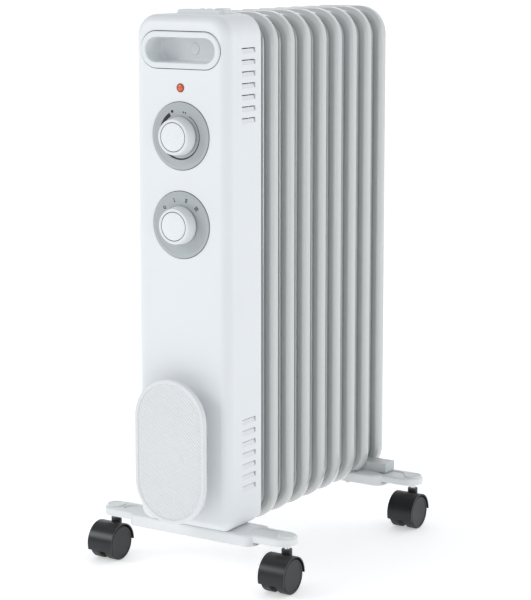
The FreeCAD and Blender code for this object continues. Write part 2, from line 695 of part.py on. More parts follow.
def handle_insert():
    """The bezel and hand pocket of the carrying handle, one moulding."""
    body = new_body("handle_insert", z=S.handle_z)
    back = S.housing_front_y + S.handle_seat
    half = S.handle_half_height
    width = S.handle_half_width
    pad(body, "front", back, S.handle_seat + S.handle_proud, stadium, -width, width, -half, half,
        toward=-1)
    round_edges(body, S.handle_edge, edges_at("Y", S.housing_front_y - S.handle_proud))
    opening = width - S.handle_rim
    tall = half - S.handle_rim
    wall = S.handle_wall
    pad(body, "front", back, S.handle_depth, stadium,
        -(opening + wall), opening + wall, -(tall + wall), tall + wall)
    pocket(body, "front", S.housing_front_y - S.handle_proud - 1,
           S.handle_depth + S.handle_seat + S.handle_proud + 1 - wall, stadium,
           -opening, opening, -tall, tall)
    return body


def handle_cap():
    """The round cap over the screw in the back wall of the hand pocket."""
    face = S.housing_front_y + S.handle_seat + S.handle_depth - S.handle_wall
    body = new_body("handle_cap", z=S.handle_z)
    pad(body, "front", face, S.handle_cap_depth, circles, [(0, 0)], S.handle_cap_radius, toward=-1)
    return body


def lamp_holder():
    """The tube that holds the pilot lamp, with its rim on the panel."""
    body = new_body("lamp_holder", y=S.housing_front_y, z=S.lamp_z)
    inner = S.lamp_radius
    outer = inner + S.lamp_tube_wall
    rim = inner + S.lamp_rim
    front = -S.lamp_tube_wall
    end = S.lamp_tube_depth
    floor = end - S.lamp_tube_end
    revolve(body, "side", [
        (front, inner), (front, rim), (0, rim), (0, outer),
        (end, outer), (end, 0), (floor, 0), (floor, inner),
    ], "H_Axis")
    return body


def lamp_lens():
    """The coloured lens of the pilot lamp, slightly domed."""
    body = new_body("lamp_lens", y=S.housing_front_y, z=S.lamp_z)
    back = S.lamp_lens_back
    pad(body, "front", back, back + S.lamp_dome, circles, [(0, 0)], S.lamp_radius, toward=-1)
    round_edges(body, S.lamp_dome_edge, edges_at("Y", -S.lamp_dome))
    return body


def dial_ring(label, height):
    """The grey ring round a knob, let into the panel."""
    body = new_body(label, y=S.housing_front_y - S.dial_proud, z=height)
    pad(body, "front", 0, S.dial_depth, circles, [(0, 0)], S.dial_radius)
    round_edges(body, S.dial_edge, edges_at("Y", 0))
    pocket(body, "front", -1, S.dial_depth + 2, circles, [(0, 0)], S.bush_radius + S.fit_gap)
    return body


def control_body(label, height, half_width, half_height, depth):
    """A control behind the panel: its case, and the bush that its shaft turns in."""
    body = new_body(label, y=S.housing_front_y, z=height)
    back_of_panel = S.housing_wall
    pad(body, "front", back_of_panel, depth, rounded_rectangle,
        -half_width, half_width, -half_height, half_height, S.case_corner, S.case_corner)
    pad(body, "front", back_of_panel, S.housing_wall + S.bush_proud, circles, [(0, 0)], S.bush_radius,
        toward=-1)
    pocket(body, "front", -S.bush_proud - 1, S.bush_bore_depth + S.bush_proud + 1, circles, [(0, 0)],
           S.shaft_radius + S.turning_gap)
    return body


KNOB_BACK = S.dial_proud + S.knob_gap


def knob(label, height):
    """A tapered knob with a sunk face. Its own origin is on the panel, on its axis."""
    body = new_body(label, y=S.housing_front_y, z=height)
    front = KNOB_BACK + S.knob_height
    revolve(body, "side", [
        (-KNOB_BACK, 0), (-KNOB_BACK, S.knob_back_radius),
        (-front, S.knob_front_radius), (-front, 0),
    ], "H_Axis")
    round_edges(body, S.knob_edge, edges_at("Y", -front))
    pocket(body, "front", -front - 1, S.knob_disc_seat + 1, circles, [(0, 0)], S.knob_groove)
    pocket(body, "front", -KNOB_BACK, S.shaft_length / 2, circles, [(0, 0)], S.shaft_radius,
           toward=-1)
    return body


def knob_disc(label, height):
    """The textured disc in a knob's face."""
    body = new_body(label, y=S.housing_front_y, z=height)
    seat = S.knob_disc_seat - KNOB_BACK - S.knob_height
    pad(body, "front", seat, S.knob_disc_seat, circles, [(0, 0)], S.knob_disc, toward=-1)
    return body


def control_shaft(label, height):
    """The shaft from a knob into its control."""
    body = new_body(label, y=S.housing_front_y, z=height)
    pad(body, "front", -KNOB_BACK - S.shaft_length / 2, S.shaft_length, circles, [(0, 0)],
        S.shaft_radius)
    return body


def heat_shield():
    """The steel plate between the controls and the first fin, on two bent legs."""
    body = new_body("heat_shield")
    width = S.housing_half_width - S.housing_wall
    low = S.shield_bottom_z
    high = S.shield_top_z
    front = S.shield_front_y
    pad(body, "front", front, S.shield_sheet, rectangle, -width, width, low, high)
    leg = S.first_fin_y - front
    for side in (-1, 1):
        edge = S.shield_leg_x * side
        left, right = (edge - S.shield_sheet, edge) if side < 0 else (edge, edge + S.shield_sheet)
        pad(body, "front", front, leg, rectangle, left, right,
            low + S.shield_leg_inset, high - S.shield_leg_inset)
    pocket(body, "front", front - 1, S.shield_sheet + 2, circles, [(0, HUB_LOW_Z)], S.shield_hole)
    return body


def thermal_cutout():
    """The round safety cut-out on the heat shield."""
    body = new_body("thermal_cutout", x=S.cutout_x, y=S.shield_front_y, z=S.cutout_z)
    pad(body, "front", 0, S.cutout_depth, circles, [(0, 0)], S.cutout_radius, toward=-1)
    height = S.cutout_tab_height
    half = S.cutout_tab_width / 2
    for side in (-1, 1):
        x = S.cutout_tab_x * side
        pad(body, "front", -S.cutout_depth, height, rectangle, x - half, x + half,
            -height / 2, height / 2, toward=-1)
    return body


def wire(points, radius, bend):
    """A round wire along straight runs, with a tangent arc at each corner."""
    corners = [Vector(*point) for point in points]
    edges = []
    start = corners[0]
    for before, corner, after in zip(corners, corners[1:], corners[2:]):
        incoming = (corner - before).normalize()
        outgoing = (after - corner).normalize()
        half_turn = incoming.getAngle(outgoing) / 2
        setback = bend * math.tan(half_turn)
        first = corner - incoming * setback
        last = corner + outgoing * setback
        inward = (outgoing - incoming).normalize()
        middle = corner + inward * (bend / math.cos(half_turn) - bend)
        edges.append(Part.LineSegment(start, first).toShape())
        edges.append(Part.Arc(first, middle, last).toShape())
        start = last
    edges.append(Part.LineSegment(start, corners[-1]).toShape())
    path = Part.Wire(edges)
    section = Part.Wire(Part.makeCircle(radius, corners[0], corners[1] - corners[0]))
    return path.makePipeShell([section], True, True)


def wiring():
    """The insulated wires between the thermostat, the selector and the heating element."""
    front = S.housing_front_y.number + S.housing_wall.number
    thermostat_back = front + S.thermostat_depth.number
    selector_back = front + S.selector_depth.number
    run_y = S.wire_run_y.number
    step = S.wire_step.number
    terminal_top = HUB_LOW_Z.number + S.terminal_radius.number
    high = S.thermostat_z.number
    low = S.selector_z.number
    spread = S.element_spread.number
    routes = [
        [(-spread, thermostat_back, high), (-spread, run_y, high), (-spread, run_y, low + step),
         (-spread, selector_back, low + step)],
        [(spread, selector_back, low), (spread, run_y, low), (spread, run_y, terminal_top)],
        [(-spread, selector_back, low - step), (-spread, run_y, low - step),
         (-spread, run_y, terminal_top)],
    ]
    feature = document.addObject("Part::Feature", "wiring")
    feature.Label = "wiring"
    radius = S.wire_radius.number
    bend = S.wire_bend.number
    feature.Shape = Part.makeCompound([wire(route, radius, bend) for route in routes])
    SUBPARTS.append(feature)
    return feature


def cord_gland():
    """The bush in the housing's left wall that the mains cord comes out of."""
    body = new_body("cord_gland", x=-S.housing_half_width, y=S.gland_y, z=S.gland_z)
    pad(body, "side", 0, S.gland_head_depth, circles, [(0, 0)], S.gland_head, toward=-1)
    round_edges(body, S.gland_edge, edges_at("X", -S.gland_head_depth))
    pad(body, "side", 0, S.gland_shank, circles, [(0, 0)], S.gland_radius - S.fit_gap)
    pocket(body, "side", -S.gland_head_depth - 1, S.gland_shank + S.gland_head_depth + 2, circles,
           [(0, 0)], S.gland_bore)
    return body


def winder_plate():
    """The oval plate that the cord is wound behind, with a raised rim round its face."""
    body = new_body("cord_winder_plate")
    width = S.winder_half_width
    low = S.winder_bottom_z
    high = S.winder_top_z
    rim = S.winder_rim
    front = S.winder_front_y
    pad(body, "front", front, S.winder_depth, stadium, -width, width, low, high)
    round_edges(body, S.winder_edge, edges_at("Y", front))
    pocket(body, "front", front - 1, S.winder_dish + 1, stadium,
           rim - width, width - rim, low + rim, high - rim)
    skin = S.winder_dish + S.winder_skin
    pocket(body, "front", front + S.winder_depth, S.winder_depth - skin, stadium,
           rim - width, width - rim, low + rim, high - rim, toward=-1)
    return body


def winder_hub():
    """The hollow oval hub between the housing and the winder plate."""
    body = new_body("cord_winder_hub")
    width = S.hub_half_width
    wall = S.hub_wall
    start = S.winder_front_y + S.winder_dish + S.winder_skin
    length = S.housing_front_y - start
    pad(body, "front", start, length, stadium, -width, width, S.hub_bottom_z, S.hub_top_z)
    pocket(body, "front", S.housing_front_y, length - wall, stadium,
           wall - width, width - wall, S.hub_bottom_z + wall, S.hub_top_z - wall, toward=-1)
    return body


def top_pad():
    """The raised pad on top of the housing, ribbed at one end."""
    body = new_body("top_pad", y=S.pad_y, z=S.housing_top_z)
    width = S.pad_half_width
    depth = S.pad_half_depth
    pad(body, "top", 0, S.pad_height, rounded_rectangle, -width, width, -depth, depth,
        S.pad_corner, S.pad_corner)
    round_edges(body, S.pad_edge, edges_at("Z", S.pad_height))
    for rib in range(PAD_RIBS):
        left = S.pad_first_rib_x + S.pad_rib_pitch * rib
        pad(body, "top", S.pad_height, S.pad_rib_height, rectangle,
            left, left + S.pad_rib_width, -S.pad_rib_half_depth, S.pad_rib_half_depth)
    return body


def top_pad_caps():
    """The round screw caps on the top pad."""
    body = new_body("top_pad_caps", y=S.pad_y, z=S.housing_top_z + S.pad_height)
    pad(body, "top", 0, S.pad_cap_height, circles, PAD_CAPS, S.pad_cap_radius)
    return body


# Feet ------------------------------------------------------------------------------------------------

def foot(label, y):
    """A foot across the heater: two low arms and a deeper middle. The caster stems go up into it."""
    body = new_body(label, y=y)
    top = S.housing_bottom_z
    length = S.foot_half_length
    arm = S.arm_half_depth
    pad(body, "top", S.arm_bottom_z, top - S.arm_bottom_z, stadium, -length, length, -arm, arm)
    middle = S.middle_half_length
    depth = S.middle_half_depth
    pad(body, "top", S.middle_bottom_z, top - S.middle_bottom_z, rounded_rectangle,
        -middle, middle, -depth, depth, S.middle_corner, S.middle_corner)
    round_edges(body, S.foot_edge, edges_at("Z", top))
    half = S.dish_half_depth
    for left, right in ((S.dish_inner_x, S.dish_outer_x), (-S.dish_outer_x, -S.dish_inner_x)):
        pocket(body, "top", top, S.dish_depth, stadium, left, right, -half, half, toward=-1)
    stems = [(S.stem_x, 0), (-S.stem_x, 0)]
    pocket(body, "top", S.arm_bottom_z, S.stem_top_z - S.arm_bottom_z, circles, stems,
           S.stem_head_radius)
    return body


def front_foot():
    """The front foot, screwed to the floor of the housing from below."""
    body = foot("front_foot", S.front_foot_y)
    screws = [(-S.screw_x, 0), (S.screw_x, 0)]
    low = S.middle_bottom_z
    depth = S.housing_bottom_z - low
    pocket(body, "top", low - 1, depth + 2, circles, screws, S.screw_shank + S.screw_gap)
    pocket(body, "top", low, S.screw_sink, circles, screws, S.screw_head + S.screw_gap)
    return body


def back_foot():
    """The back foot, slotted for the last two fins and drilled for the clamp bow."""
    body = foot("back_foot", S.back_foot_y)
    width = S.fin_half_width + S.fit_gap
    corner = S.fin_corner + S.fit_gap
    gap = S.fin_slot_gap
    for gaps_before in (FIN_COUNT - 2, FIN_COUNT - 1):
        start = S.first_fin_y + S.fin_pitch * gaps_before - S.back_foot_y - gap
        pocket(body, "front", start, S.fin_depth + gap * 2, rounded_rectangle,
               -width, width, S.fin_bottom_z, S.fin_top_z, corner, corner)
    legs = [(S.clamp_spread * side, S.clamp_y - S.back_foot_y) for side in (-1, 1)]
    low = S.middle_bottom_z
    depth = S.housing_bottom_z - low
    pocket(body, "top", low - 1, depth + 2, circles, legs, S.clamp_rod + S.clamp_gap)
    return body


def back_saddle():
    """The block on the back foot that fills the gap between the last two fins."""
    body = new_body("back_saddle")
    length = S.saddle_half_length
    low = S.housing_bottom_z
    pad(body, "top", low, S.saddle_top_z - low, rectangle,
        -length, length, S.saddle_front_y, S.saddle_back_y)
    legs = [(S.clamp_spread * side, S.clamp_y) for side in (-1, 1)]
    depth = S.saddle_top_z - low
    pocket(body, "top", low - 1, depth + 2, circles, legs, S.clamp_rod + S.clamp_gap)
    # A notch clears the lower end of the last oil channel, and the collar before it.
    notch = S.saddle_notch
    pocket(body, "top", S.column_bottom_z - S.fit_gap, depth, rectangle,
           -notch, notch, S.saddle_front_y - 1, S.saddle_back_y + 1)
    return body


def clamp_bow():
    """The bow over the last lower collar that ties the back foot to the fins."""
    body = new_body("clamp_bow", y=S.clamp_y, z=HUB_LOW_Z)
    legs = [(S.clamp_spread, 0), (-S.clamp_spread, 0)]
    pad(body, "top", S.clamp_bottom_z - HUB_LOW_Z, HUB_LOW_Z - S.clamp_bottom_z, circles, legs,
        S.clamp_rod)
    sketch = sketch_on(body, "top", 0)
    circles(sketch, [(S.clamp_spread, 0)], S.clamp_rod)
    arch = body.newObject("PartDesign::Revolution", "clamp_bow_arch")
    arch.Profile = sketch
    arch.ReferenceAxis = (sketch, ["V_Axis"])
    arch.Angle = 180
    arch.Reversed = True
    finished(body, arch)
    return body


def wing_nuts():
    """The two wing nuts that draw the clamp bow tight under the back foot."""
    body = new_body("wing_nuts", y=S.clamp_y, z=S.middle_bottom_z)
    height = S.wing_nut_height
    for side in (-1, 1):
        x = S.clamp_spread * side
        pad(body, "top", -height, height, circles, [(x, 0)], S.wing_nut_radius)
        pad(body, "top", -height, height - S.wing_step, rectangle, x - S.wing_reach, x + S.wing_reach,
            -S.wing_half_thickness, S.wing_half_thickness)
        pocket(body, "top", -height - 1, height + 1, circles, [(x, 0)], S.clamp_rod)
    return body


def stem_caps():
    """The round caps on the feet's arms, above the caster stems."""
    body = new_body("stem_caps", z=S.housing_bottom_z)
    centres = [(S.stem_x * side, y) for y in (S.front_foot_y, S.back_foot_y) for side in (-1, 1)]
    pad(body, "top", 0, S.cap_height, circles, centres, S.cap_radius)
    round_edges(body, S.cap_edge, edges_at("Z", S.cap_height))
    return body


def screws():
    """The two screws that hold the front foot to the housing, from below."""
    body = new_body("housing_screws")
    head = S.middle_bottom_z + S.screw_sink
    places = [(-S.screw_x, S.front_foot_y), (S.screw_x, S.front_foot_y)]
    pad(body, "top", head - S.screw_head_depth, S.screw_head_depth, circles, places, S.screw_head)
    pad(body, "top", head, S.screw_length, circles, places, S.screw_shank)
    return body


# Casters ---------------------------------------------------------------------------------------------

CORNERS = [
    ("front_left", -1, S.front_foot_y), ("front_right", 1, S.front_foot_y),
    ("back_left", -1, S.back_foot_y), ("back_right", 1, S.back_foot_y),
]


def caster_stems():
    """The four steel stems, fixed in the feet, that the casters swivel on."""
    body = new_body("caster_stems")
    centres = [(S.stem_x * side, y) for name, side, y in CORNERS]
    pad(body, "top", S.stem_bottom_z, S.arm_bottom_z - S.stem_bottom_z, circles, centres,
        S.stem_radius)
    pad(body, "top", S.arm_bottom_z, S.stem_top_z - S.arm_bottom_z, circles, centres,
        S.stem_head_radius)
    return body


def caster_frame(name, side, y):
    """A caster's moulded frame: hood, web and stem boss. Its own origin is on the wheels' axis."""
    body = new_body(f"caster_frame_{name}", S.stem_x * side, y - S.caster_trail, S.wheel_radius)
    width = S.hood_half_width
    revolve(body, "front", [(-width, S.hood_inner), (width, S.hood_inner), (width, S.hood_outer),
                            (-width, S.hood_outer)], "H_Axis", S.hood_sweep)
    web = S.web_half_width
    revolve(body, "front", [(-web, 0), (web, 0), (web, S.hood_outer), (-web, S.hood_outer)],
            "H_Axis", S.hood_sweep)
    pad(body, "side", -web, web * 2, circles, [(0, 0)], S.web_radius)
    pad(body, "top", S.boss_bottom_z - S.wheel_radius, S.boss_top_z - S.boss_bottom_z, circles,
        [(0, S.caster_trail)], S.boss_radius)
    for way in (-1, 1):
        pocket(body, "side", S.web_half_width * way, width, circles, [(0, 0)],
               S.hood_inner - 0.05, toward=way)
    # The hood ends level with the axle behind, and lower down in front.
    pocket(body, "side", -width - 1, width * 2 + 2, rectangle,
           S.web_radius, S.hood_outer + 1, -S.hood_outer, 0)
    pocket(body, "top", S.stem_bore_z - S.wheel_radius, S.boss_top_z - S.stem_bore_z + 1, circles,
           [(0, S.caster_trail)], S.stem_radius + S.turning_gap)
    pocket(body, "side", -web - 1, web * 2 + 2, circles, [(0, 0)], S.axle_radius)
    return body


def caster_axle(name, side, y):
    """The axle, fixed in the caster's web, that both wheels turn on."""
    body = new_body(f"caster_axle_{name}", S.stem_x * side, y - S.caster_trail, S.wheel_radius)
    pad(body, "side", -S.axle_half_length, S.axle_half_length * 2, circles, [(0, 0)], S.axle_radius)
    return body


def wheel(name, side, y, way):
    """One of a caster's two wheels, with a blind bore. way is its side of the caster."""
    letter = "a" if way < 0 else "b"
    body = new_body(f"wheel_{name}_{letter}", S.stem_x * side, y - S.caster_trail, S.wheel_radius)
    thickness = S.wheel_outer_x - S.wheel_inner_x
    pad(body, "side", S.wheel_inner_x * way, thickness, circles, [(0, 0)], S.wheel_radius, toward=way)
    round_edges(body, S.wheel_edge, edges_at("X", S.wheel_outer_x * way))
    pocket(body, "side", S.wheel_inner_x * way, S.wheel_bore_x - S.wheel_inner_x, circles, [(0, 0)],
           S.axle_radius + S.turning_gap, toward=way)
    return body


# The assembly ----------------------------------------------------------------------------------------

def build():
    for number in range(1, FIN_COUNT + 1):
        fin(number)
    joining_collars()
    channel_plugs()
    oil_charge()
    heating_element()
    control_housing()
    handle_insert()
    handle_cap()
    lamp_holder()
    lamp_lens()
    heat_shield()
    thermal_cutout()
    for control, height in (("thermostat", S.thermostat_z), ("selector", S.selector_z)):
        dial_ring(f"{control}_dial_ring", height)
        knob(f"{control}_knob", height)
        knob_disc(f"{control}_knob_disc", height)
        control_shaft(f"{control}_shaft", height)
    control_body("thermostat", S.thermostat_z, S.thermostat_half_width, S.thermostat_half_height,
                 S.thermostat_depth)
    control_body("selector_switch", S.selector_z, S.selector_half_width, S.selector_half_width,
                 S.selector_depth)
    wiring()
    cord_gland()
    winder_plate()
    winder_hub()
    top_pad()
    top_pad_caps()
    front_foot()
    back_foot()
    back_saddle()
    clamp_bow()
    wing_nuts()
    stem_caps()
    screws()
    caster_stems()
    for name, side, y in CORNERS:
        caster_frame(name, side, y)
        caster_axle(name, side, y)
        for way in (-1, 1):
            wheel(name, side, y, way)


def export():
    """Checks every object of the document, then writes each sub-part to its own file."""
    document.recompute()
    for thing in document.Objects:
        if "Invalid" in thing.State or "Error" in thing.State:
            raise RuntimeError(f"{thing.Label} is {thing.State}")
    os.makedirs("parts", exist_ok=True)
    for subpart in SUBPARTS:
        shape = subpart.Shape
        if shape.isNull() or not shape.isValid():
            raise RuntimeError(f"{subpart.Label} has no valid shape")
        shape.exportStep(f"parts/{subpart.Label}.step")
        print(f"{subpart.Label}: {len(shape.Solids)} solids, {shape.Volume / 1000:.1f} cm3")
    print(len(SUBPARTS), "sub-parts")


build()
export()
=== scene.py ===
"""Looks of an oil filled radiator heater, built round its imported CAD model.

The frame: X to the right seen from the front, Y from the front to the back, Z up, metres.
Sizes in this script are millimetres in that frame, and MM turns them into metres.
"""

import json
import math

import bmesh
import bpy
from mathutils import Matrix, Vector


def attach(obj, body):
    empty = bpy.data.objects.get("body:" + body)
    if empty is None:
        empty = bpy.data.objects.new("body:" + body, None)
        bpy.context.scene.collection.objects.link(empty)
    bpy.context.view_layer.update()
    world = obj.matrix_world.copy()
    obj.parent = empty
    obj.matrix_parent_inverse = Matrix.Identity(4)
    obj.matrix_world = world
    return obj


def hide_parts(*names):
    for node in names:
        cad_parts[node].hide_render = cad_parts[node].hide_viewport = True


MM = 0.001
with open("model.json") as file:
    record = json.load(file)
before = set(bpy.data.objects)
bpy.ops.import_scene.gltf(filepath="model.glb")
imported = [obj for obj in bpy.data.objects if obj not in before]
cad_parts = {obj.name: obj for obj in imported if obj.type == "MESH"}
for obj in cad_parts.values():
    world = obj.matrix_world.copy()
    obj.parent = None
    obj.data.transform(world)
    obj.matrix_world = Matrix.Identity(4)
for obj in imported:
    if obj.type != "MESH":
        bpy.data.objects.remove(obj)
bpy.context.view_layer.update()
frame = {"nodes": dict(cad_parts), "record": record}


# Sizes ----------------------------------------------------------------------------------------------

FIN_COUNT = 9
FIN_PITCH = 35
FIRST_FIN_Y = -103.6
FIN_HALF_WIDTH = 58.2
FIN_LOW = 50.5
FIN_HIGH = 628.5
FIN_CORNER = 34
FIN_DEPTH = 12.6
FIN_SHEET = 0.6
COLUMN_HALF_WIDTH = 28.5
COLUMN_LOW = 65
COLUMN_HIGH = 611
COLUMN_FRONT = -7.2
COLUMN_BACK = 7.8
HUB_HEIGHTS = (COLUMN_LOW + COLUMN_HALF_WIDTH, COLUMN_HIGH - COLUMN_HALF_WIDTH)
COLLAR_RADIUS = 22
PANEL_Y = -162.5
HOUSING_HALF_WIDTH = 61.2
HOUSING_TOP = 627.8
LOUVRE_FRONT = -135.1
LOUVRE_BACK = -108.2
LOUVRE_HEIGHT = 5.6
LOUVRE_PITCH = 12.6
LOUVRE_TOPS = (592.7, 184.2)
LOUVRES_IN_A_GROUP = 7
DIALS = {"thermostat": 497.3, "selector": 400.2}
FOOT_TOP = 60.5
HANDLE_HEIGHT = 590
HANDLE_HALF_LENGTH = 52
HANDLE_HALF_HEIGHT = 20.5
LAMP_HEIGHT = 549.5
LENS_RADIUS = 3.6
KNOB_DEPTH = 13.8
PRINT_BACK = 0.02
PRINT_FRONT = -0.06
WINDER_HALF_WIDTH = 46.5
WINDER_LOW = 70
WINDER_HIGH = 232.7
WINDER_FRONT = -189
WINDER_BACK = -182.5
PAD_Y = -115.7
PAD_HALF_WIDTH = 31.5
PAD_HALF_DEPTH = 10.5
PAD_CORNER = 6
PAD_HEIGHT = 4.5
PAD_RIBS = 5
PAD_FIRST_RIB_X = 18.2
PAD_RIB_PITCH = 2.6
PAD_RIB_WIDTH = 1.4
PAD_RIB_HALF_DEPTH = 7
PAD_CAPS = ((-3.5, 1), (4.5, 3.5))


# Outlines and profiles ------------------------------------------------------------------------------

def box_of(half_width, low, high, corner, top_corner=None):
    """A rounded rectangle, as left, right, low, high and its two corner radii."""
    return (-half_width, half_width, low, high, corner, corner if top_corner is None else top_corner)


def outline(shape, inset=0, steps=12):
    """Points round a rounded rectangle drawn in by an inset, counterclockwise from its lower right."""
    left, right, low, high, corner, top_corner = shape
    left, right, low, high = left + inset, right - inset, low + inset, high - inset
    most = min(right - left, high - low) / 2 * 0.9999
    r0 = min(max(corner - inset, 0.02), most)
    r1 = min(max(top_corner - inset, 0.02), most)
    centres = [
        (right - r0, low + r0, r0, -90),
        (right - r1, high - r1, r1, 0),
        (left + r1, high - r1, r1, 90),
        (left + r0, low + r0, r0, 180),
    ]
    points = []
    for x, y, radius, start in centres:
        for step in range(steps + 1):
            angle = math.radians(start + 90 * step / steps)
            points.append((x + radius * math.cos(angle), y + radius * math.sin(angle)))
    return points


def eased(corners, steps=6):
    """A profile through corners of (inset, level, radius), each one rounded by its radius."""
    points = [corners[0][:2]]
    for before, here, after in zip(corners, corners[1:], corners[2:]):
        radius = here[2]
        corner = Vector(here[:2])
        to_before = Vector(before[:2]) - corner
        to_after = Vector(after[:2]) - corner
        if radius <= 0 or to_before.length < 1e-6 or to_after.length < 1e-6:
            points.append(tuple(corner))
            continue
        half = to_before.angle(to_after) / 2
        if half > math.radians(89.5):
            points.append(tuple(corner))
            continue
        setback = min(radius / math.tan(half), to_before.length * 0.98, to_after.length * 0.98)
        first = corner + to_before.normalized() * setback
        last = corner + to_after.normalized() * setback
        centre = corner + (to_before.normalized() + to_after.normalized()).normalized() * (
            setback / math.cos(half))
        start = first - centre
        turn = start.angle_signed(last - centre)
        for step in range(steps + 1):
            spoke = start.copy()
            spoke.rotate(Matrix.Rotation(-turn * step / steps, 2))
            points.append(tuple(centre + spoke))
    points.append(corners[-1][:2])
    return points


def facing_front(u, v, level):
    return (u, level, v)


def facing_up(u, v, level):
    return (u, v, level)


def facing_side(u, v, level):
    return (level, u, v)


# Pieces ---------------------------------------------------------------------------------------------



def place_piece(name, mesh, finish, body, replaces=(), sharp=32):
    """Puts a mesh into the scene with its finish, on its CAD body, in place of CAD nodes."""
    mesh.polygons.foreach_set("use_smooth", [True] * len(mesh.polygons))
    mesh.set_sharp_from_angle(angle=math.radians(sharp))
    mesh.materials.clear()
    mesh.materials.append(finish)
    piece = bpy.data.objects.new(name, mesh)
    bpy.context.scene.collection.objects.link(piece)
    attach(piece, body)
    if replaces:
        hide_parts(*replaces)
    return piece


class Build:
    """Collects closed shapes, in millimetres, for one mesh."""

    def __init__(self):
        self.verts = []
        self.faces = []

    def loft(self, rings, closed=False):
        """Skins rings with the same number of points. The end rings are closed unless it's a loop."""
        base = len(self.verts)
        count = len(rings[0])
        for ring in rings:
            self.verts.extend(ring)
        spans = len(rings) if closed else len(rings) - 1
        for row in range(spans):
            this = base + row * count
            following = base + (row + 1) % len(rings) * count
            for step in range(count):
                right = (step + 1) % count
                self.faces.append((this + step, this + right, following + right, following + step))
        if not closed:
            self.faces.append(tuple(base + step for step in range(count)))
            last = base + (len(rings) - 1) * count
            self.faces.append(tuple(last + step for step in reversed(range(count))))
        return self

    def slab(self, shape, profile, place=facing_front, steps=12, closed=False):
        """A rounded shape swept through a profile of (inset, level)."""
        rings = []
        for inset, level in profile:
            rings.append([place(u, v, level) for u, v in outline(shape, inset, steps)])
        return self.loft(rings, closed)

    def turned(self, centre, profile, place=facing_front, closed=False, steps=64):
        """A shape turned about an axis through centre, from a profile of (radius, level)."""
        cu, cv = centre
        rings = []
        for radius, level in profile:
            ring = []
            for step in range(steps):
                angle = math.tau * step / steps
                ring.append(place(cu + radius * math.cos(angle), cv + radius * math.sin(angle), level))
            rings.append(ring)
        return self.loft(rings, closed)

    def bar(self, corners):
        """A box or wedge from eight corners: four of its base, then the four above them."""
        base = len(self.verts)
        self.verts.extend(corners)
        for face in ((0, 1, 2, 3), (7, 6, 5, 4), (0, 4, 5, 1), (1, 5, 6, 2), (2, 6, 7, 3), (3, 7, 4, 0)):
            self.faces.append(tuple(base + index for index in face))
        return self

    def mesh(self, name):
        """The mesh in metres, with its doubled points joined and its faces turned outwards."""
        mesh = bpy.data.meshes.new(name)
        mesh.from_pydata([tuple(value * MM for value in vert) for vert in self.verts], [], self.faces)
        edit = bmesh.new()
        edit.from_mesh(mesh)
        bmesh.ops.remove_doubles(edit, verts=edit.verts, dist=1e-6)
        bmesh.ops.recalc_face_normals(edit, faces=edit.faces)
        edit.to_mesh(mesh)
        edit.free()
        return mesh


def from_node(node, bevel=0.0, corner=30):
    """A smooth copy of a CAD node's mesh, with its flat faces made whole and its edges softened."""
    mesh = frame["nodes"][node].data.copy()
    edit = bmesh.new()
    edit.from_mesh(mesh)
    bmesh.ops.remove_doubles(edit, verts=edit.verts, dist=2e-6)
    bmesh.ops.dissolve_limit(edit, angle_limit=math.radians(0.3), verts=edit.verts, edges=edit.edges,
                             use_dissolve_boundaries=False)
    if bevel:
        edges = [edge for edge in edit.edges
                 if len(edge.link_faces) == 2 and edge.calc_face_angle() > math.radians(corner)]
        bmesh.ops.bevel(edit, geom=edges, offset=bevel * MM, segments=2, profile=0.5, affect="EDGES",
                        clamp_overlap=True)
    edit.to_mesh(mesh)
    edit.free()
    return mesh


# Finishes -------------------------------------------------------------------------------------------

def link(tree, source, target):
    tree.links.new(source, target)


def noise(tree, size, detail=3.0, stretch=(1, 1, 1)):
    """Noise in the row frame whose patches are about size millimetres across."""
    nodes = tree.nodes
    place = nodes.new("ShaderNodeTexCoord")
    mapping = nodes.new("ShaderNodeMapping")
    mapping.inputs["Scale"].default_value = stretch
    texture = nodes.new("ShaderNodeTexNoise")
    texture.inputs["Scale"].default_value = 1 / (size * MM)
    texture.inputs["Detail"].default_value = detail
    link(tree, place.outputs["Object"], mapping.inputs["Vector"])
    link(tree, mapping.outputs["Vector"], texture.inputs["Vector"])
    return texture.outputs["Fac"]


def ranged(tree, value, low, high, from_low=0.3, from_high=0.7):
    node = tree.nodes.new("ShaderNodeMapRange")
    for name, number in (("From Min", from_low), ("From Max", from_high), ("To Min", low), ("To Max", high)):
        node.inputs[name].default_value = number
    link(tree, value, node.inputs["Value"])
    return node.outputs["Result"]


